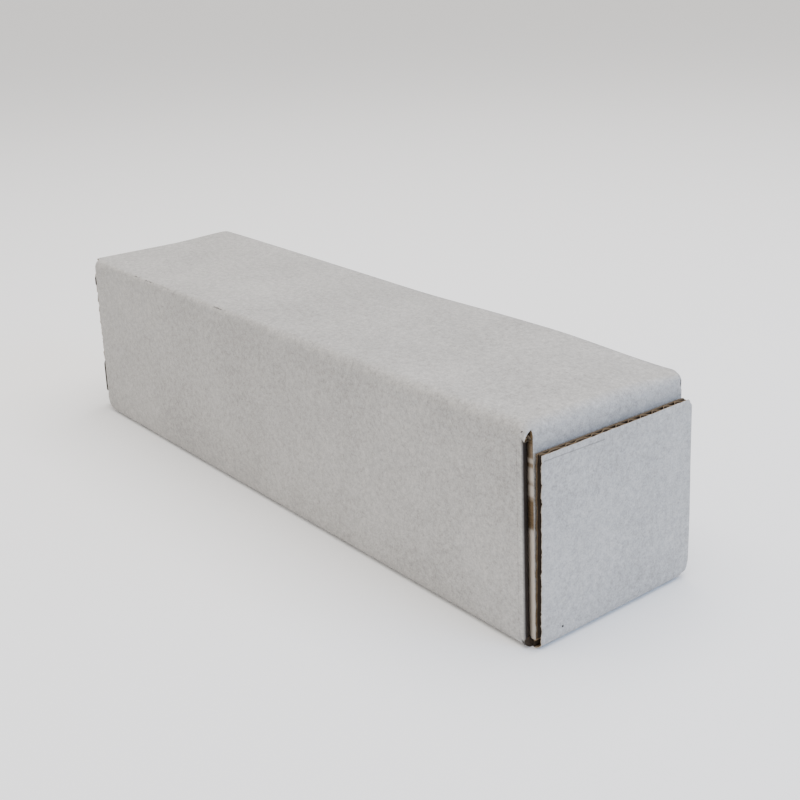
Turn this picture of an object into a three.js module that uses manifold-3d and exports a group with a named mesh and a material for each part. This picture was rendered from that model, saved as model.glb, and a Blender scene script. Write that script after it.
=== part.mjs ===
// A long shipping box of single-wall corrugated board: one blank, white outside and brown
// inside, folded into a square tube and closed at both ends by full-overlap flaps. The two side
// flaps fold in first, the top flap comes down over them, and the bottom flap is folded up last,
// so it is the only one that opens by itself. Units are millimetres and +Z is up. The origin is
// at the middle of the underside, and +X points to the end whose flap stands slightly open.

import * as THREE from 'three';
import Module from 'manifold-3d';
import { mergeVertices } from 'three/addons/utils/BufferGeometryUtils.js';

const wasm = await Module();
wasm.setup();

// Outside size of the folded tube
const boxLength = 412;
const boxWidth = 104;
const boxHeight = 106;

// The board: two liners and a waved medium between them
const boardThickness = 3.6;
const linerThickness = 0.4;
const mediumThickness = 0.35;
const flutePitch = 8;
const fluteBond = 0.7;
const channelPoints = 6;

// Folds: the flutes are crushed flat along each crease
const foldInnerRadius = 2.2;
const foldSegments = 6;
const crushedMargin = 3;

// The glue lap folds in from the top of the right-hand panel and is glued under the top panel
const lapWidth = 30;

// End flaps: their free edges stop short of the panel opposite, and their sides are trimmed so
// that they fold past each other
const outerFlapShortfall = 14;
const outerFlapTrim = 5;
const nearFlapShift = 2;
const outerFlapLean = THREE.MathUtils.degToRad(0.8);
const topFlapShortfall = 4.5;
const topFlapTrim = 8.6;
const sideFlapShortfall = 58;
const sideFlapClearance = 2;

// Gaps between boards that lie against each other
const plyGap = 0.3;
const hingeGap = 0.3;

// What follows from the sizes above
const foldOuterRadius = foldInnerRadius + boardThickness;
const halfWidth = boxWidth / 2;
const tubeEnd = boxLength / 2 - foldOuterRadius;
const outerFlapDepth = boxHeight - outerFlapShortfall;
const outerFlapWidth = boxWidth - outerFlapTrim;
const topFlapDepth = boxHeight - topFlapShortfall;
const topFlapWidth = boxWidth - topFlapTrim;
const sideFlapDepth = boxWidth - sideFlapShortfall;
const sideFlapWidth = boxHeight - 2 * (boardThickness + sideFlapClearance);
const topFlapReach = boardThickness + plyGap;
const hingeX = boxLength / 2 + 2 * (boardThickness + plyGap) - boardThickness / 2;
const hingeZ = boardThickness / 2;
const bottomPanelReach = hingeX - boardThickness / 2 - hingeGap - tubeEnd;

// Points of [across the flutes, into the board] round one flute channel, which lies under the
// outer liner, or under the inner one if inner is true
function channelOutline(centre, inner) {
  const halfSpan = (flutePitch - fluteBond) / 2;
  const depth = boardThickness - 2 * linerThickness - mediumThickness;
  const outline = [];
  for (let i = 0; i < channelPoints; i++) {
    const across = halfSpan * (-1 + (2 * i) / (channelPoints - 1));
    const into = linerThickness + (depth * (1 + Math.cos((Math.PI * across) / halfSpan))) / 2;
    outline.push([centre + across, inner ? boardThickness - into : into]);
  }
  return outline;
}

// The channels that a run of board this wide cuts through: outer and inner ones take turns, and
// the last ones pass over both cut edges
function fluteChannels(width) {
  const count = Math.ceil(width / flutePitch) + 1;
  const channels = [];
  for (let i = 0; i < count; i++) {
    const centre = (i - (count - 1) / 2) * flutePitch;
    channels.push(channelOutline(centre, false));
    if (i > 0) channels.push(channelOutline(centre - flutePitch / 2, true));
  }
  return channels;
}

// The points of a quarter turn round its centre
function quarterTurn(centreX, centreY, radius, fromAngle, toAngle) {
  const points = [];
  for (let i = 0; i <= foldSegments; i++) {
    const angle = fromAngle + ((toAngle - fromAngle) * i) / foldSegments;
    points.push([centreX + radius * Math.cos(angle), centreY + radius * Math.sin(angle)]);
  }
  return points;
}

// The outline through these points, without any that repeats the one before it
function outlineOf(points, Outline = THREE.Shape) {
  const kept = points.filter(([x, y], i) => {
    const [lastX, lastY] = points[(i + points.length - 1) % points.length];
    return Math.hypot(x - lastX, y - lastY) > 1e-3;
  });
  return new Outline(kept.map(([x, y]) => new THREE.Vector2(x, y)));
}

const east = 0;
const north = Math.PI / 2;
const west = Math.PI;
const southWest = 1.5 * Math.PI;

// The tube's section, seen along the flutes, with across = Y and up = Z. The lap is glued under
// the top panel, so the two are drawn as one, and the top panel's raw edge stands over the fold
// of the lap.
function tubeSection() {
  const outer = foldOuterRadius;
  const inner = foldInnerRadius;
  const right = halfWidth - outer;
  const top = boxHeight - outer;
  const seam = boxHeight - boardThickness;

  const section = outlineOf([
    [halfWidth, boxHeight],
    ...quarterTurn(-right, top, outer, north, west),
    ...quarterTurn(-right, outer, outer, west, southWest),
    ...quarterTurn(right, outer, outer, -north, east),
    ...quarterTurn(right, seam - outer, outer, east, north),
    [halfWidth, seam],
  ]);
  const room = [
    [halfWidth - lapWidth, seam],
    ...quarterTurn(-right, top, inner, north, west),
    ...quarterTurn(-right, outer, inner, west, southWest),
    ...quarterTurn(right, outer, inner, -north, east),
    ...quarterTurn(right, seam - outer, inner, east, north),
    [halfWidth - lapWidth, seam - boardThickness],
  ];
  section.holes.push(outlineOf(room, THREE.Path));
  return section;
}

// A closed three.js geometry as a solid that can be joined and cut
function solidOf(geometry) {
  const bare = geometry.clone();
  bare.deleteAttribute('normal');
  bare.deleteAttribute('uv');
  const merged = mergeVertices(bare);
  const mesh = new wasm.Mesh({
    numProp: 3,
    vertProperties: new Float32Array(merged.attributes.position.array),
    triVerts: new Uint32Array(merged.index.array),
  });
  return new wasm.Manifold(mesh);
}

// The geometry of a joined or cut solid
function geometryOf(solid) {
  const { vertProperties, triVerts } = solid.getMesh();
  const geometry = new THREE.BufferGeometry();
  geometry.setAttribute('position', new THREE.BufferAttribute(vertProperties, 3));
  geometry.setIndex(new THREE.BufferAttribute(triVerts, 1));
  const faceted = geometry.toNonIndexed();
  faceted.computeVertexNormals();
  return faceted;
}

// The shape's outline pushed along one axis, with its own axes turned to three given ones
function pushed(shapes, length, shapeX, shapeY, along) {
  const geometry = new THREE.ExtrudeGeometry(shapes, { depth: length, bevelEnabled: false });
  return geometry.applyMatrix4(new THREE.Matrix4().makeBasis(shapeX, shapeY, along));
}

const xAxis = new THREE.Vector3(1, 0, 0);
const yAxis = new THREE.Vector3(0, 1, 0);
const zAxis = new THREE.Vector3(0, 0, 1);

// The open flutes of a flap, from the crushed crease to past its cut edge. In a flap's own frame
// x is out of the box at its end, y is into the box and z is across the flap. The outer face of
// the board is at x = face.
function openFlutes(face, width, from, to) {
  const shapes = fluteChannels(width).map((channel) =>
    outlineOf(channel.map(([across, into]) => [across, face - into])),
  );
  const flutes = pushed(shapes, to - from, zAxis, xAxis, yAxis);
  flutes.translate(0, from, 0);
  return solidOf(flutes);
}

// A folded flap in its own frame: the panel runs on for reach, turns in through a quarter turn
// and goes on to depth
function foldedFlap(reach, depth, width) {
  const face = reach + foldOuterRadius;
  const profile = outlineOf([
    [0, 0],
    ...quarterTurn(reach, foldOuterRadius, foldOuterRadius, -north, east),
    [face, depth],
    [face - boardThickness, depth],
    ...quarterTurn(reach, foldOuterRadius, foldInnerRadius, east, -north),
    [0, boardThickness],
  ]);
  const blank = pushed(profile, width, xAxis, yAxis, zAxis).translate(0, 0, -width / 2);
  const flutes = openFlutes(face, width, foldOuterRadius + crushedMargin, depth + flutePitch);
  return solidOf(blank).subtract(flutes);
}

// A folded flap's solid is built again for each place, turned by exact quarter turns
function placed(solid, outward, inward, x, y, z) {
  const across = new THREE.Vector3().crossVectors(outward, inward);
  const matrix = new THREE.Matrix4().makeBasis(outward, inward, across).setPosition(x, y, z);
  return solidOf(geometryOf(solid).applyMatrix4(matrix));
}

// The folded tube with the flaps that the outer ones hold shut
function cartonBody() {
  const tube = pushed(tubeSection(), 2 * tubeEnd, yAxis, zAxis, xAxis).translate(-tubeEnd, 0, 0);
  const topFlap = foldedFlap(topFlapReach, topFlapDepth, topFlapWidth);
  const sideFlap = foldedFlap(0, sideFlapDepth, sideFlapWidth);

  const down = zAxis.clone().negate();
  const left = yAxis.clone().negate();
  const middle = boxHeight / 2;
  let body = solidOf(tube);
  for (const end of [1, -1]) {
    const outward = new THREE.Vector3(end, 0, 0);
    body = body.add(placed(topFlap, outward, down, end * tubeEnd, 0, boxHeight));
    body = body.add(placed(sideFlap, outward, yAxis, end * tubeEnd, -halfWidth, middle));
    body = body.add(placed(sideFlap, outward, left, end * tubeEnd, halfWidth, middle));
    const lip = new THREE.BoxGeometry(bottomPanelReach, outerFlapWidth, boardThickness);
    const shift = end > 0 ? nearFlapShift : 0;
    lip.translate(end * (tubeEnd + bottomPanelReach / 2), shift, boardThickness / 2);
    body = body.add(solidOf(lip));
  }
  return body;
}

// The flap that closes an end from outside, upright over its crease, which lies on the origin
function outerFlap() {
  const half = boardThickness / 2;
  const top = outerFlapDepth - hingeZ;
  const profile = outlineOf([
    [half, top],
    [-half, top],
    ...quarterTurn(0, 0, half, west, southWest),
    ...quarterTurn(0, 0, half, -north, east),
  ]);
  const width = outerFlapWidth;
  const blank = pushed(profile, width, xAxis, yAxis, zAxis).translate(0, 0, -width / 2);
  return solidOf(blank).subtract(openFlutes(half, width, crushedMargin, top + flutePitch));
}

const whiteBoard = new THREE.MeshStandardMaterial({
  name: 'white_board',
  color: new THREE.Color(0.74, 0.73, 0.72),
  roughness: 0.85,
  metalness: 0,
});

const carton = new THREE.Group();

const body = new THREE.Mesh(geometryOf(cartonBody()), whiteBoard);
body.name = 'carton_body';
carton.add(body);

const flapGeometry = geometryOf(outerFlap());
for (const { name, end, shift } of [
  { name: 'near_end_flap', end: 1, shift: nearFlapShift },
  { name: 'far_end_flap', end: -1, shift: 0 },
]) {
  const crease = new THREE.Group();
  crease.position.set(end * hingeX, shift, hingeZ);
  const upright = new THREE.Matrix4().makeBasis(
    new THREE.Vector3(end, 0, 0),
    zAxis,
    new THREE.Vector3(0, -end, 0),
  );
  const flap = new THREE.Mesh(flapGeometry.clone().applyMatrix4(upright), whiteBoard.clone());
  flap.name = name;
  crease.rotation.y = end * outerFlapLean;
  crease.add(flap);
  carton.add(crease);
}

export default carton;
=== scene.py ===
import math

import bmesh
import bpy
from mathutils import Matrix, Vector, noise


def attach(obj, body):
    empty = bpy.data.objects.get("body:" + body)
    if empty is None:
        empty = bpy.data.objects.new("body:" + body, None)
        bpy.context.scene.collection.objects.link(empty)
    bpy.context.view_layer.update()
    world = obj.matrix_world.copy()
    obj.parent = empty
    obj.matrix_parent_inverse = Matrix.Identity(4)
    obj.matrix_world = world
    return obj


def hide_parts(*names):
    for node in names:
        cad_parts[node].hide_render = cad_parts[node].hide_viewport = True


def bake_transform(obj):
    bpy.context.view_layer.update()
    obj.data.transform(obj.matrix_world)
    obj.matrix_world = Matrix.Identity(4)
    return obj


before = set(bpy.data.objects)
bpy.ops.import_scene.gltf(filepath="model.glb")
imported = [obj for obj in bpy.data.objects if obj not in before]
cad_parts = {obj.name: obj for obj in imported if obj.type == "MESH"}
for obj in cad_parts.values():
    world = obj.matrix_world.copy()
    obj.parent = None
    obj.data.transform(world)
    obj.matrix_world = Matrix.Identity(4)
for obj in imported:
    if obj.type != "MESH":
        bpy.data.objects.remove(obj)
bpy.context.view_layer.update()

# The view: the box is seen from in front of its near end and to the left, a little from above.
# The lens and its small downward shift give the photograph's framing.
camera_place = Vector((0.56319, -0.38931, 0.30269))
camera_aim = Vector((-0.75361, 0.60039, -0.26759))
camera_roll = math.radians(-2.166)

camera_data = bpy.data.cameras.new("camera")
camera_data.lens = 56.33
camera_data.sensor_width = 36
camera_data.shift_x = -0.0188
camera_data.shift_y = -0.1394
camera = bpy.data.objects.new("camera", camera_data)
bpy.context.collection.objects.link(camera)
level_right = camera_aim.cross(Vector((0, 0, 1))).normalized()
level_up = level_right.cross(camera_aim)
view_right = level_right * math.cos(camera_roll) + level_up * math.sin(camera_roll)
view_up = level_up * math.cos(camera_roll) - level_right * math.sin(camera_roll)
camera.matrix_world = Matrix.Translation(camera_place) @ Matrix(
    (
        (view_right.x, view_up.x, -camera_aim.x, 0),
        (view_right.y, view_up.y, -camera_aim.y, 0),
        (view_right.z, view_up.z, -camera_aim.z, 0),
        (0, 0, 0, 1),
    )
)
bpy.context.scene.camera = camera


# The floor: a plain pale paper, wide enough to fill every view. Its material is the first one
# made, so the two classes that every material is written with come here: one holds the nodes,
# and the other lets a sum on values add its own.
class Value:
    """A number that varies over the surface, kept as a node's output socket."""

    def __init__(self, finish, socket):
        self.finish = finish
        self.socket = socket

    def sum_with(self, operation, first, second):
        made = self.finish.node("ShaderNodeMath", {"operation": operation}, {0: first, 1: second})
        return Value(self.finish, made.outputs[0])

    def __add__(self, other):
        return self.sum_with("ADD", self, other)

    def __radd__(self, other):
        return self.sum_with("ADD", other, self)

    def __sub__(self, other):
        return self.sum_with("SUBTRACT", self, other)

    def __rsub__(self, other):
        return self.sum_with("SUBTRACT", other, self)

    def __mul__(self, other):
        return self.sum_with("MULTIPLY", self, other)

    def __rmul__(self, other):
        return self.sum_with("MULTIPLY", other, self)

    def near(self, centre, reach):
        """1 where the number lies within reach of centre, otherwise 0."""
        made = self.finish.node(
            "ShaderNodeMath", {"operation": "COMPARE"}, {0: self, 1: centre, 2: reach}
        )
        return Value(self.finish, made.outputs[0])


class Finish:
    """A material and the few node recipes that the box's boards use."""

    def __init__(self, name, colour, roughness):
        self.material = bpy.data.materials.new(name)
        self.material.use_nodes = True
        self.material.diffuse_color = (*colour, 1)
        self.tree = self.material.node_tree
        self.shader = self.tree.nodes["Principled BSDF"]
        self.shader.inputs["Base Color"].default_value = (*colour, 1)
        self.shader.inputs["Roughness"].default_value = roughness
        self.shader.inputs["Specular IOR Level"].default_value = 0.25

    def node(self, kind, settings, inputs):
        made = self.tree.nodes.new(kind)
        for name, value in settings.items():
            if name == "stops":
                ramp = made.color_ramp.elements
                while len(ramp) < len(value):
                    ramp.new(0.5)
                for stop, (place, level) in zip(ramp, value):
                    stop.position = place
                    stop.color = (level, level, level, 1)
            else:
                setattr(made, name, value)
        for name, value in inputs.items():
            if isinstance(value, Value):
                self.tree.links.new(value.socket, made.inputs[name])
            elif isinstance(value, bpy.types.NodeSocket):
                self.tree.links.new(value, made.inputs[name])
            else:
                made.inputs[name].default_value = value
        return made

    def place(self, scale=(1, 1, 1)):
        """Where a point lies on the box, stretched by scale."""
        coordinates = self.node("ShaderNodeTexCoord", {}, {})
        inputs = {"Vector": coordinates.outputs["Object"], "Scale": scale}
        return self.node("ShaderNodeMapping", {}, inputs).outputs[0]

    def noise(self, place, scale, detail, rough):
        inputs = {"Vector": place, "Scale": scale, "Detail": detail, "Roughness": rough}
        return Value(self, self.node("ShaderNodeTexNoise", {}, inputs).outputs[0])

    def attribute(self, name):
        made = self.node("ShaderNodeAttribute", {"attribute_name": name}, {})
        return Value(self, made.outputs["Fac"])

    def on_the_flat(self):
        """Where a point lies on the flat sheet: across it and along it."""
        sheet = self.node("ShaderNodeUVMap", {"uv_map": "paper"}, {})
        # This node breaks the sheet's place into its parts across and along
        split = self.node("ShaderNodeSeparateXYZ", {}, {0: sheet.outputs[0]})
        return Value(self, split.outputs[0]), Value(self, split.outputs[1])

    def ramp(self, value, stops):
        made = self.node("ShaderNodeValToRGB", {"stops": stops}, {0: value})
        return Value(self, made.outputs[0])

    def mix(self, factor, first, second):
        """A blend of two colours, which a Mix node takes at 6 and 7 and gives out at 2."""
        inputs = {"Factor": factor, 6: first, 7: second}
        return self.node("ShaderNodeMix", {"data_type": "RGBA"}, inputs).outputs[2]

    def bump(self, height, strength, distance):
        inputs = {"Height": height, "Strength": strength, "Distance": distance}
        return self.node("ShaderNodeBump", {}, inputs).outputs[0]

    def feed(self, **sockets):
        names = {"colour": "Base Color", "roughness": "Roughness", "normal": "Normal"}
        for name, value in sockets.items():
            source = value.socket if isinstance(value, Value) else value
            self.tree.links.new(source, self.shader.inputs[names[name]])


floor_size = 40
floor_mesh = bmesh.new()
bmesh.ops.create_grid(floor_mesh, x_segments=1, y_segments=1, size=floor_size / 2)
floor_data = bpy.data.meshes.new("floor")
floor_mesh.to_mesh(floor_data)
floor_mesh.free()
floor = bpy.data.objects.new("floor", floor_data)
bpy.context.collection.objects.link(floor)
floor_data.materials.append(Finish("floor_paper", (0.93, 0.93, 0.93), 0.9).material)

# The light: an even white surround, a wide soft lamp overhead, and a weak cool one that gives
# the near end its bluish cast.
light_aim = Vector((0.1, 0, 0.05))
world = bpy.data.worlds.new("surround")
world.use_nodes = True
world.node_tree.nodes["Background"].inputs["Color"].default_value = (1, 0.972, 0.94, 1)
world.node_tree.nodes["Background"].inputs["Strength"].default_value = 1.1
bpy.context.scene.world = world
for name, place, size, power, colour in (
    ("overhead", (0.1, 0.1, 1.6), 1.8, 36.0, (1, 0.965, 0.935)),
    ("near_end", (1.5, 0.5, 0.7), 1.0, 15.0, (0.22, 0.5, 1)),
):
    lamp_data = bpy.data.lights.new(name, "AREA")
    lamp_data.shape = "SQUARE"
    lamp_data.size = size
    lamp_data.energy = power
    lamp_data.color = colour
    lamp = bpy.data.objects.new(name, lamp_data)
    bpy.context.collection.objects.link(lamp)
    lamp.location = place
    lamp.rotation_mode = "QUATERNION"
    lamp.rotation_quaternion = (Vector(place) - light_aim).to_track_quat("Z", "Y")

# The blank: one sheet of single-wall board, white liner outside and brown liner inside, scored
# and folded into the tube. The lap, the top flaps and the side flaps are part of it; the two
# outer flaps come after it, because they turn.
mm = 0.001
board = 3.6 * mm
liner = 0.35 * mm
ply_gap = 0.3 * mm
half_length = 206 * mm
half_width = 52 * mm
height = 106 * mm
lap_width = 30 * mm
lap_top = height - board - ply_gap
fold_radius = 5 * mm
crisp_fold_radius = 2.6 * mm
soft_fold_radius = 6.5 * mm
flute_pitch = 8 * mm
top_flap_face = half_length + board + ply_gap
top_flap_radius = 5.6 * mm
top_flap_length = 104.7 * mm
side_flap_length = 44 * mm
side_fold_radius = {1: 0.8 * mm, -1: 4 * mm}
side_fold_face = {1: half_length + 1.9 * mm, -1: half_length - 2.5 * mm}
lip_end = 208.8 * mm

# The dull brown of scuffed liner, and a near black that serves both for dark rubs and specks and
# for painted shade in crevices, gaps and the board's open flutes
scuffed = (0.17, 0.145, 0.12, 1)
rub_and_shade_dark = (0.022, 0.016, 0.012, 1)

# Rubs on the top left fold: where each lies along the box, half its length, and its strength.
# The crest's place is a share of the fold, counted as around does below.
crest_rubs = [(-142, 3.5, 0.8), (-125, 6, 0.75), (-103, 9, 0.3), (-43, 4.5, 0.7)]
crest_place = 1.47
crest_reach = 0.07


def crest_scuffs(finish):
    """Short dark rubs on the crest of the top left fold, towards the far end."""
    across, along = finish.on_the_flat()
    wander = finish.noise(finish.place(), 120, 2, 0.5) * 0.1
    on_crest = (across + wander).near(crest_place, crest_reach)
    rubs = [along.near(centre * mm, reach * mm) * level for centre, reach, level in crest_rubs]
    broken = finish.ramp(finish.noise(finish.place(), 700, 2, 0.6), [(0.42, 0.15), (0.56, 1)])
    return on_crest * sum(rubs[1:], rubs[0]) * broken


# Painted shade along a faint crease on the near flap: it starts at its left edge and drops a
# little towards its middle
crease_start = -48.2 * mm
crease_end = -10.8 * mm
crease_up = 90.2 * mm
crease_drop = 0.018
crease_half_width = 0.3 * mm
speck_across = -36.5 * mm
speck_up = 7.5 * mm


def flap_crease_shade_and_speck(finish):
    """Painted shade along a faint crease under the free edge of the near flap, and one dark speck
    near its foot.
    """
    across, along = finish.on_the_flat()
    slope = along + (across - crease_start) * crease_drop
    middle, half_run = (crease_start + crease_end) / 2, (crease_end - crease_start) / 2
    crease = slope.near(crease_up, crease_half_width) * across.near(middle, half_run) * 0.35
    speck = across.near(speck_across, 0.55 * mm) * along.near(speck_up, 0.5 * mm)
    return crease + speck


def white_liner(name, marks, paper=(0.385, 0.373, 0.356)):
    """Bleached liner: mottled paper with a fine grain, dull where it is scuffed."""
    finish = Finish(name, paper, 0.78)
    point = finish.place()
    cloud = finish.noise(point, 14, 3, 0.55)
    mottle = finish.noise(point, 380, 4, 0.65)
    grain = finish.noise(point, 1100, 3, 0.75)
    tone = finish.ramp(cloud * 0.2 + mottle * 0.35 + grain * 0.45, [(0.38, 0.0), (0.62, 1.0)])
    darker = tuple(level * 0.7 for level in paper)
    lighter = tuple(min(level * 1.3, 1) for level in paper)
    colour = finish.mix(tone, (*darker, 1), (*lighter, 1))
    wear = finish.attribute("wear")
    rubbed = finish.noise(point, 160, 5, 0.7) * 0.6 + wear * 0.9
    smudge = finish.ramp(rubbed, [(0.55, 0), (0.95, 1)])
    colour = finish.mix(smudge, colour, scuffed)
    # The marks: real rubs and specks, and on the near flap the painted shade of its crease
    colour = finish.mix(marks(finish), colour, rub_and_shade_dark)
    # Painted shade in crevices, gaps and the board's open flutes, laid on from the sheet's
    # attribute
    colour = finish.mix(finish.attribute("split"), colour, rub_and_shade_dark)
    finish.feed(
        colour=colour,
        roughness=0.7 + tone * 0.15,
        normal=finish.bump(mottle * 0.5 + grain * 0.5, 0.4, 0.0003),
    )
    return finish.material


# Bleached paper that shows at a cut or torn edge of the white liner
torn_white = (0.47, 0.41, 0.34, 1)


def brown_liner(name, paper, dark=0.55):
    """Unbleached kraft paper: long fibres along the machine direction."""
    finish = Finish(name, paper, 0.85)
    fibres = finish.noise(finish.place(scale=(40, 260, 260)), 6, 5, 0.7)
    speck = finish.noise(finish.place(), 900, 3, 0.6)
    tone = finish.ramp(fibres * 0.6 + speck * 0.4, [(0.3, 0), (0.7, 1)])
    darker = tuple(level * dark for level in paper)
    lighter = tuple(min(level * 1.25, 1) for level in paper)
    colour = finish.mix(tone, (*darker, 1), (*lighter, 1))
    colour = finish.mix(finish.attribute("pale"), colour, torn_white)
    # Painted shade in crevices, gaps and the board's open flutes, laid on from the sheet's
    # attribute
    colour = finish.mix(finish.attribute("split"), colour, rub_and_shade_dark)
    finish.feed(
        colour=colour,
        roughness=0.8 + speck * 0.15,
        normal=finish.bump(fibres * 0.6 + speck * 0.4, 0.35, 0.0003),
    )
    return finish.material


white_paper = white_liner("white_liner", crest_scuffs)
near_flap_paper = white_liner("near_flap_liner", flap_crease_shade_and_speck)
brown_paper = brown_liner("brown_liner", (0.22, 0.15, 0.085))
cut_board = brown_liner("cut_board", (0.15, 0.098, 0.05), 0.4)
medium_paper = brown_liner("medium", (0.24, 0.165, 0.095), 0.6)


def flat_sheet(columns, rows):
    """A flat grid whose lines stand at these places across and along."""
    mesh = bmesh.new()
    across, along = len(columns) - 1, len(rows) - 1
    bmesh.ops.create_grid(mesh, x_segments=across, y_segments=along, size=0.5)
    paper = mesh.loops.layers.uv.new("paper")
    for vertex in mesh.verts:
        column = columns[round((vertex.co.x + 0.5) * across)]
        row = rows[round((vertex.co.y + 0.5) * along)]
        vertex.co = (column, row, 0)
    for face in mesh.faces:
        face.smooth = True
        for loop in face.loops:
            loop[paper].uv = loop.vert.co.xy
    return mesh


def shaped(mesh, shape, marks=None):
    """Folds a flat sheet: every point goes where shape puts it, and takes its marks along."""
    layers = {name: mesh.verts.layers.float.new(name) for name in ("wear", "split", "pale")}
    for vertex in mesh.verts:
        flat = vertex.co.copy()
        vertex.co = shape(flat.x, flat.y)
        if marks:
            for name, level in marks(flat.x, flat.y, vertex.co).items():
                vertex[layers[name]] = level


def papered(mesh, name, papers, thickness, body, replaced=(), offset=-1):
    """A finished sheet with its thickness: outer face, inner face and cut edge."""
    data = bpy.data.meshes.new(name)
    mesh.to_mesh(data)
    mesh.free()
    for paper in papers:
        data.materials.append(paper)
    piece = bpy.data.objects.new(name, data)
    bpy.context.collection.objects.link(piece)
    wall = piece.modifiers.new("thickness", "SOLIDIFY")
    wall.thickness = thickness
    wall.offset = offset
    wall.use_even_offset = False
    wall.material_offset = min(1, len(papers) - 1)
    wall.material_offset_rim = min(2, len(papers) - 1)
    if body:
        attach(piece, body)
    if replaced:
        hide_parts(*replaced)
    return piece


def eased(value, start, end):
    """0 before start and 1 after end, with a smooth rise between them."""
    share = min(max((value - start) / (end - start), 0), 1)
    return share * share * (3 - 2 * share)


def band(value, start, full, fading, end):
    """1 between full and fading, and 0 before start and after end."""
    return eased(value, start, full) * (1 - eased(value, fading, end))


def steps(start, end, count):
    """Evenly spaced places from start to end, both of them included."""
    return [start + (end - start) * i / count for i in range(count + 1)]


# The tube's corners, across the box and up: round from the top panel's raw edge to the lap's
corners = [
    (half_width, height),
    (-half_width, height),
    (-half_width, 0),
    (half_width, 0),
    (half_width, lap_top),
    (half_width - lap_width, lap_top),
]
last_region = 2 * (len(corners) - 2)
crisp_until, soft_from = -160 * mm, 150 * mm
far_corner_rub = 3.4 * mm
far_corner_end = -172 * mm


def fold_radii(x):
    """The long folds' radii: the top left one is crisp towards the far end and soft at the near
    one, and its far corner is rubbed round."""
    softer = eased(x, crisp_until, soft_from)
    top_left = crisp_fold_radius + (soft_fold_radius - crisp_fold_radius) * softer
    top_left += far_corner_rub * (1 - eased(x, -half_length, far_corner_end))
    return [0, top_left, fold_radius, fold_radius, fold_radius, 0]


def around(u, x):
    """A point of the tube's outside at x along it. From an even u to the next whole number it
    crosses a panel, and from an odd one a fold, in the order of the corners."""
    radii = fold_radii(x)
    region = min(int(u), last_region)
    share = u - region
    panel = region // 2
    start, end = Vector(corners[panel]), Vector(corners[panel + 1])
    run = (end - start).normalized()
    if region % 2 == 0:
        start = start + run * radii[panel]
        end = end - run * radii[panel + 1]
        return start.lerp(end, share)
    radius = radii[panel + 1]
    turn = Vector((-run.y, run.x))
    angle = share * math.pi / 2
    centre = end - run * radius + turn * radius
    return centre + (run * math.sin(angle) - turn * math.cos(angle)) * radius


panel_bow = 0.35 * mm


def panel_wave(x, y, z):
    """How far the board stands out from its true plane where a panel bows."""
    return noise.noise(Vector((x * 9, y * 14, z * 14 + 3))) * panel_bow


# The top right edge rises towards the far end, dips past its middle and sinks at the near end
far_rise = 1.6 * mm
middle_dip = 0.9 * mm
dip_place, dip_reach = 25 * mm, 45 * mm
near_sink = 2.4 * mm


def right_edge_shift(x, y):
    """How far the top right edge stands above its true line: it waves, and sinks at the end."""
    return eased(y, 8 * mm, half_width) * (
        far_rise * (1 - eased(x, -200 * mm, -20 * mm))
        - middle_dip * math.exp(-(((x - dip_place) / dip_reach) ** 2))
        - near_sink * eased(x, 120 * mm, 198 * mm)
    )


# The numbers that u gives to the parts of the sheet. A fold has the number after its panel's.
top_panel, left_panel, bottom_panel, right_panel = 0, 2, 4, 6


def region_of(u):
    """The panel or fold that u lies in. The side panels keep both their edges."""
    for panel in (left_panel, right_panel):
        if panel <= u <= panel + 1:
            return panel
    return min(int(u), last_region)


# The top flap's fold starts at near_start, and its two cut edges lie in these columns, just
# inside the box's long folds
near_start = top_flap_face - top_flap_radius
flap_right = 0.0441
flap_left = 1.22
column_play = 0.01

# The heights at which the far top flap's cut edge shows past the side fold
upper_peek = [84 * mm, 87 * mm, 92 * mm, 95 * mm]
lower_peek = [8 * mm, 12 * mm, 30 * mm, 40 * mm]


def peeks_out(z):
    """1 where the far top flap's cut edge shows, otherwise 0."""
    return band(z, *upper_peek) + band(z, *lower_peek)


def turned(out, start, radius):
    """How far the board has turned at a fold, and how far it runs on beyond it."""
    angle = min(max(out - start, 0) / radius, math.pi / 2)
    return angle, max(out - start - radius * math.pi / 2, 0)


def top_fold(end, out, y, z, radius):
    """The top flap folds down over the end."""
    start = top_flap_face - radius
    angle, beyond = turned(out, start, radius)
    reach = min(out, start) + radius * math.sin(angle)
    drop = radius * (1 - math.cos(angle)) + beyond
    return Vector((end * reach, y, z - drop))


# A side flap leans away from the top flap: quickly over its first run, then hardly at all
lean_run = 5 * mm
first_lean = 0.5
later_lean = 0.02


def side_fold(end, out, y, z, towards):
    """A side flap folds in behind the top flap, and leans away from it."""
    radius = side_fold_radius[end]
    start = side_fold_face[end] - radius
    angle, beyond = turned(out, start, radius)
    reach = min(out, start) + radius * math.sin(angle)
    reach -= min(beyond, lean_run) * first_lean + max(beyond - lean_run, 0) * later_lean
    inward = radius * (1 - math.cos(angle)) + beyond
    return Vector((end * reach, y + towards * inward, z))


# The top flap is narrower than its panel: its right edge steps in at the fold, and the far
# one's left edge does too. The near one's fold is crisper at the right.
right_step = 3.4 * mm
far_left_inset = 3.5 * mm
peek_reach = 1.2
crisper_by = 3 * mm

# The far left corner of the foot is rubbed up, over this run along the box and up to this height
foot_rub = 5 * mm
rub_start, rub_run = 13 * mm, 9 * mm
rub_height = 26 * mm


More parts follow.
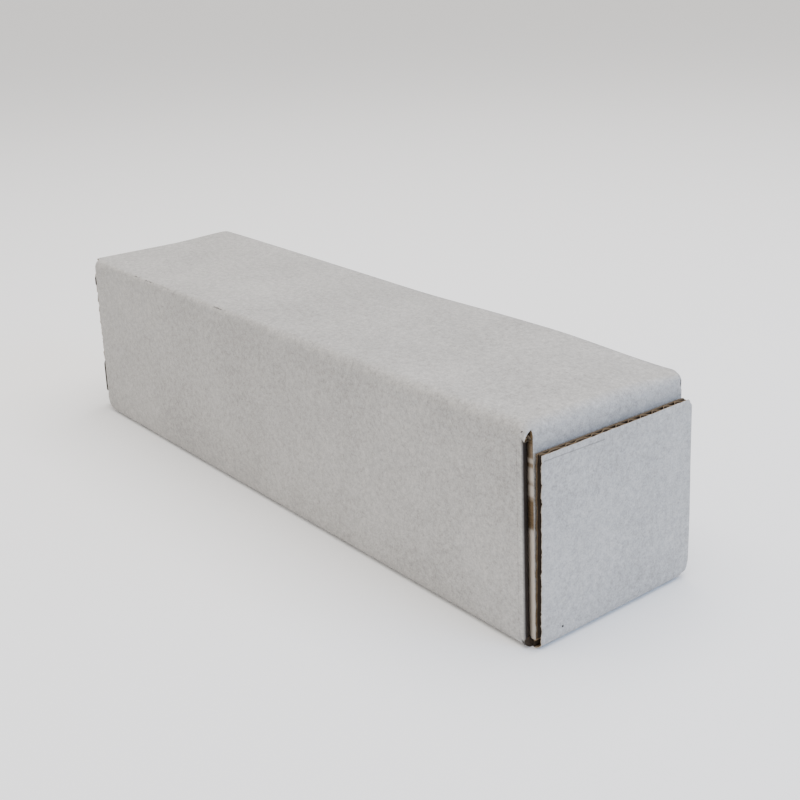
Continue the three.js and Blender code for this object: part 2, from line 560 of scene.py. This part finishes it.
def blank_point(u, t):
    """Where a point of the flat blank lies once it is folded."""
    end = 1 if t > 0 else -1
    out = abs(t)
    y, z = around(u, t)
    region = region_of(u)
    fade = 1 - eased(out, half_length - 14 * mm, half_length)
    lift = panel_wave(t, y, z)
    if region == top_panel or region >= right_panel:
        z += right_edge_shift(min(max(t, -half_length), half_length), y) * z / height
    if region == top_panel:
        z += lift * (0.35 + 0.65 * fade)
    elif region == left_panel:
        y -= lift * fade * 0.5
    elif region == right_panel:
        y += lift * fade * 0.5
    if region < left_panel:
        folding = eased(out, near_start - 3 * mm, near_start + 5.5 * mm)
        if u < flap_right:
            y -= right_step * folding * (1 - u / flap_right)
        crisp = crisper_by * (1 - eased(u, 0, 0.3)) if end > 0 else 0
        over_the_top = top_fold(end, out, y, z, top_flap_radius - crisp)
        if end < 0 and u < flap_left + column_play:
            inset = eased(out, near_start, near_start + 6 * mm) * eased(u, 0.5, flap_left)
            over_the_top.y += far_left_inset * inset * (1 - peek_reach * peeks_out(over_the_top.z))
        elif end < 0:
            share = eased(u, flap_left, left_panel)
            return over_the_top.lerp(side_fold(end, out, y, z, 1), share)
        return over_the_top
    if end < 0 and region < bottom_panel:
        rubbed = min(max(out - half_length + rub_start, 0) / rub_run, 1)
        z += foot_rub * rubbed**2 * max(1 - z / rub_height, 0) * min(bottom_panel - u, 1)
    if region in (left_panel, right_panel):
        return side_fold(end, out, y, z, 1 if region == left_panel else -1)
    return Vector((t, y, z))


# Heights on the near top flap's cut edge: the stretch of bare brown board, the torn stretch
# above it, and where the fold begins
bare_stretch = [56 * mm, 58 * mm, 70 * mm, 72 * mm]
torn_from, torn_full = 70 * mm, 73 * mm
cut_edge_top = 96 * mm


def blank_shade_and_pale(u, t, place):
    """Painted shade in the gaps at the side folds, at the near end of the bottom left fold and
    beside the near top flap's right edge; and paler or browner down the top flap's cut edge.
    """
    out = abs(t)
    end = 1 if t > 0 else -1
    region = region_of(u)
    split = 0
    arc_start = side_fold_face[end] - side_fold_radius[end]
    if region == left_panel and end > 0:
        # Painted shade over the near side flap from just past the start of its fold, in the
        # crevice behind the top flap
        split = eased(out, arc_start + 0.2 * mm, arc_start + 0.6 * mm)
    elif abs(u - flap_left) < column_play and end < 0:
        # Painted shade on the far top flap's left cut edge where it shows past the side fold, in
        # the gap at the far end
        split = peeks_out(place.z)
    elif left_panel < region <= bottom_panel and end > 0:
        # Painted shade over the last millimetre of the bottom left fold and the bottom panel at
        # the near end
        split = 0.9 * eased(out, half_length - 1 * mm, half_length)
    elif u < flap_right / 2 + column_play and end > 0:
        # Painted shade in a short band on the near top flap's right edge, a little way down its
        # fold, where it steps in
        split = 0.95 * band(out - near_start, 6 * mm, 7 * mm, 9 * mm, 10.5 * mm)
    pale = 0
    if region < left_panel and end > 0 and place.z < cut_edge_top:
        kraft = band(place.z, *bare_stretch)
        torn_part = eased(place.z, torn_from, torn_full)
        scraps = eased(noise.noise(Vector((place.z * 420, 1.5, 2.5))), -0.3, 0.1)
        pale = 1 - kraft - 0.9 * torn_part * scraps
    return {"split": split, "pale": pale}


# The flat sheet's lines, close together where it folds and far apart where it runs straight
fold_from, fold_to = 200 * mm, 216.5 * mm
flap_end_row = near_start + top_flap_length
end_rows = (
    steps(fold_from, fold_to, 22)
    + steps(fold_to, flap_end_row, 90)[1:]
    + [flap_end_row + 1 * mm]
)
rows = (
    [-row for row in reversed(end_rows)]
    + steps(-fold_from, fold_from, 110)[1:-1]
    + end_rows
)
columns = [0, flap_right / 2, flap_right]
for next_column, count in (
    (0.97, 26),
    (flap_left, 4),
    (left_panel, 6),
    (left_panel + 1, 22),
    (bottom_panel, 6),
    (bottom_panel + 1, 16),
    (right_panel, 6),
    (right_panel + 1, 16),
    (last_region, 6),
    (last_region + 1, 8),
):
    columns += steps(columns[-1], next_column, count)[1:]
blank = flat_sheet(columns, rows)

# How far the slots beside the top flaps are cut past the fold's start or the panels' ends, at
# the near end and at the far one
left_slot = {1: 5.5 * mm, -1: -2.5 * mm}
right_slot = {1: 14 * mm, -1: 5.5 * mm}
foot_slot = {1: 1.5 * mm, -1: -6 * mm}
right_panel_short = 2 * mm


def is_waste(face):
    """The knife takes this face away: it lies in a slot or past a flap's end."""
    u, t, _ = face.calc_center_median()
    end = 1 if t > 0 else -1
    out = abs(t)
    if u < flap_right:
        return out > near_start + right_slot[end]
    if u < flap_left:
        return out > flap_end_row
    if u < left_panel:
        return out > near_start + left_slot[end]
    if u < left_panel + 1 or right_panel < u < right_panel + 1:
        return out > half_length + side_flap_length
    if bottom_panel < u < bottom_panel + 1:
        return out > lip_end
    if u < bottom_panel:
        return out > half_length + foot_slot[end]
    return out > half_length - right_panel_short


waste = [face for face in blank.faces if is_waste(face)]
bmesh.ops.delete(blank, geom=waste, context="FACES")
shaped(blank, blank_point, blank_shade_and_pale)
bmesh.ops.recalc_face_normals(blank, faces=blank.faces)
papered(
    blank,
    "folded_blank",
    [white_paper, brown_paper, cut_board],
    board,
    "carton",
    ["carton_body"],
)

# An outer flap: the same board, cut across its flutes at the free edge, so the waved medium
# shows between its two liners. It turns on the crease scored at the bottom panel's end. The
# near one stands a little open, and its free edge is crushed at the left.
flap_length = 93 * mm
flap_half = 49.5 * mm
flap_lean = math.tan(math.radians(0.8))
flap_bow = 0.25 * mm
crease_height = board / 2
flap_face = half_length + 2 * (board + ply_gap)
flap_fold_arc = fold_radius * math.pi / 2

# The outer liner's right-hand edge leans in, and its corners are rubbed round
right_lean = 0.9 * mm
corner_reach = 4 * mm
corner_in, corner_down = 1 * mm, 1.2 * mm
foot_reach = 6 * mm
foot_in, foot_up = 2.6 * mm, 1.2 * mm

# The waved medium, and where it is crushed at the near flap's free edge
medium_thickness = 0.28 * mm
medium_depth = 1.35 * liner
points_per_flute = 14
crushed_until, sound_from = -22 * mm, 2 * mm
crushed_run = 10 * mm


def flap_point(end, shift, across, up, depth):
    """A point of an outer flap: across the box, up the flap, and into the board."""
    out = flap_face + flap_lean * (up - crease_height)
    out += flap_bow * noise.noise(Vector((across * 30, up * 30, 4.0 + end)))
    return Vector((end * (out - depth), shift + across, up))


def torn(place, amount, seed):
    """How much the knife or a tear has taken off a liner's edge."""
    coarse = noise.noise(Vector((place * 260, seed, 0)))
    fine = noise.noise(Vector((place * 900, seed, 5)))
    return amount * (coarse + 0.6 * fine)


def outer_flap(name, end, shift, paper, left_trim, body, node):
    """One end's outer flap: outer liner, lining of the fold, inner liner and waved medium."""
    left_edge = -flap_half + left_trim
    margin = 3 * mm
    columns = (
        steps(left_edge, left_edge + margin, 6)
        + steps(left_edge + margin, flap_half - margin, 46)[1:]
        + steps(flap_half - margin, flap_half, 6)[1:]
    )
    fold_rows = steps(fold_radius - flap_fold_arc, fold_radius, 10)
    corner_row = flap_length - corner_reach
    flap_rows = steps(fold_radius, corner_row, 88) + steps(corner_row, flap_length, 8)[1:]

    def at_left(across):
        return 1 - eased(across, left_edge, left_edge + 1.5 * mm)

    def at_right(across):
        return eased(across, flap_half - corner_reach, flap_half)

    def at_corner(across, up):
        """1 at the top right corner, and 0 a little way from it."""
        return at_right(across) * eased(up, corner_row, flap_length)

    def folded(across, up, depth):
        """A point of a liner, which runs through the fold below and then up the flap."""
        if up >= fold_radius:
            return flap_point(end, shift, across, up, depth)
        angle = (up - fold_radius + flap_fold_arc) / fold_radius
        foot = flap_point(end, shift, across, fold_radius, 0)
        out = flap_face - fold_radius + (fold_radius - depth) * math.sin(angle)
        out += (abs(foot.x) - flap_face) * angle / (math.pi / 2)
        height_there = fold_radius - (fold_radius - depth) * math.cos(angle)
        return Vector((end * out, shift + across, height_there))

    def outer(across, up):
        """A point of the outer liner, with its torn edges and its rubbed right-hand corners."""
        top = eased(up, flap_length - 1.5 * mm, flap_length)
        corner = at_corner(across, up)
        foot = eased(across, flap_half - foot_reach, flap_half)
        foot *= 1 - eased(up, -2 * mm, 11 * mm)
        shifted = across + at_left(across) * torn(up, 0.8 * mm, 1.0)
        shifted -= corner * corner_in + foot * foot_in
        shifted -= at_right(across) * eased(up, 20 * mm, flap_length) * right_lean
        raised = up + top * torn(across, 0.22 * mm, 3.0) - corner * corner_down
        place = folded(shifted, raised, corner * 0.5 * mm)
        place.z += foot * foot_up
        return place

    def outer_marks(across, up, place):
        """Scuffed and pale along the free edge and the left edge."""
        near_top = eased(up, flap_length - 2.5 * mm, flap_length)
        near_left = 1 - eased(across, left_edge, left_edge + 2 * mm)
        wear = 0.5 * max(near_top, near_left) * max(noise.noise(place * 300), 0)
        return {"wear": wear, "pale": 0.8 * near_left}

    def cut_edge_shade(across, up, place, depth=0.7 * mm):
        """Painted shade: the waved medium and its liners are darkened a little way in from a cut
        edge, where the open flutes inside the board fall into shade.
        """
        from_edge = min(across - left_edge, flap_half - across, flap_length - up)
        return {"split": 0.95 * eased(from_edge, -0.1 * mm, depth)}

    def bent(mesh, part, papers, thickness):
        """A liner that bends at the flap's fold. It is attached to no body, and its placing is
        baked into its points.
        """
        if end < 0:
            bmesh.ops.reverse_faces(mesh, faces=mesh.faces)
        strip = papered(mesh, name + part, papers, thickness, None)
        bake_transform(strip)

    sheet = flat_sheet(columns, fold_rows + flap_rows[1:])
    shaped(sheet, outer, outer_marks)
    bent(sheet, "_outside", [paper, medium_paper, brown_paper], liner)

    sheet = flat_sheet(columns[::2], fold_rows)
    shaped(sheet, lambda across, up: folded(across, up, board - liner))
    bent(sheet, "_fold_lining", [brown_paper], liner)

    def inner(across, up):
        """A point of the inner liner, whose corner is cut a little shorter."""
        corner = at_corner(across, up)
        shifted = across + at_left(across) * torn(up, 0.7 * mm, 9.0) - corner * 1.6 * mm
        return flap_point(end, shift, shifted, up - corner * 1.4 * mm, board - liner)

    def inner_liner_shade(across, up, place):
        """Painted shade: darkened all over where it faces the top flap, and darker just inside the
        cut edges.
        """
        return {"split": max(0.4, cut_edge_shade(across, up, place, 0.3 * mm)["split"])}

    sheet = flat_sheet(columns[::2], flap_rows[::2])
    shaped(sheet, inner, inner_liner_shade)
    if end < 0:
        bmesh.ops.reverse_faces(sheet, faces=sheet.faces)
    inside = papered(
        sheet, name + "_inside", [medium_paper, brown_paper, cut_board], liner, body
    )

    wave_left = left_edge + 1.2 * mm
    flute_points = round(2 * flap_half / flute_pitch * points_per_flute)
    wave_columns = steps(wave_left, flap_half, flute_points)
    fine_row, last_row = flap_length - 12 * mm, flap_length - 0.2 * mm
    wave_rows = steps(fold_radius, fine_row, 8) + steps(fine_row, last_row, 12)[1:]

    def wave(across, up):
        """A point of the medium: it waves between the liners, flatter where it is crushed."""
        room = board - 2 * medium_depth
        crushed = 0
        if end > 0:
            crushed = eased(up, flap_length - crushed_run, flap_length)
            crushed *= 1 - eased(across, crushed_until, sound_from)
        lean = crushed * 1.2 * mm * math.sin(across * 400)
        level = 0.5 + 0.5 * math.cos(2 * math.pi * (across + lean) / flute_pitch)
        level = level * (1 - 0.45 * crushed) + 0.3 * crushed
        corner = eased(across, flap_half - 5 * mm, flap_half - 1 * mm)
        corner *= eased(up, flap_length - 5 * mm, flap_length)
        up -= 1.8 * mm * corner
        return flap_point(end, shift, across, up, medium_depth + room * level)

    sheet = flat_sheet(wave_columns, wave_rows)
    # The medium takes painted shade a little way in from its cut edges
    shaped(sheet, wave, cut_edge_shade)
    medium = papered(
        sheet, name + "_medium", [medium_paper], medium_thickness, body, offset=0
    )
    for piece in (inside, medium):
        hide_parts(node)


outer_flap("near_flap", 1, 2 * mm, near_flap_paper, 0, "near_flap", "near_end_flap")
outer_flap("far_flap", -1, 0, white_paper, 3.5 * mm, "far_flap", "far_end_flap")
